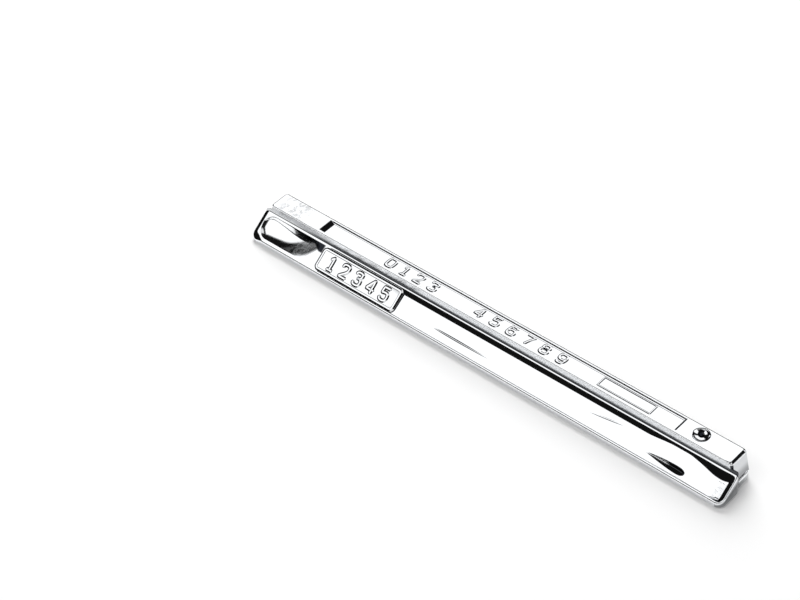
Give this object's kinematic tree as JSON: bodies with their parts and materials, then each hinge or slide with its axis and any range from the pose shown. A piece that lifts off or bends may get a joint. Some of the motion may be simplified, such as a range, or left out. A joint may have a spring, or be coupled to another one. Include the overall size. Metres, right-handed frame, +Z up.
{
  "type": "solder bar",
  "caption": "Cast tin-lead solder bar with a raised channelled rail, a dimple, and a sloping sunken shelf with a small tablet, for feeding a solder pot.",
  "frame": {"origin": "centre of the bounding box on the floor, under the middle of the bar", "axes": "+X along the bar towards the dimple, +Y towards the plain side away from the sloping shelf, +Z up"},
  "size_m": [0.326, 0.029, 0.0182],
  "materials": {
    "solder": "bright as-cast tin-lead alloy, mirror smooth with faint casting ripples"
  },
  "bodies": {
    "root": {"solder_bar": "solder"}
  },
  "joints": []
}
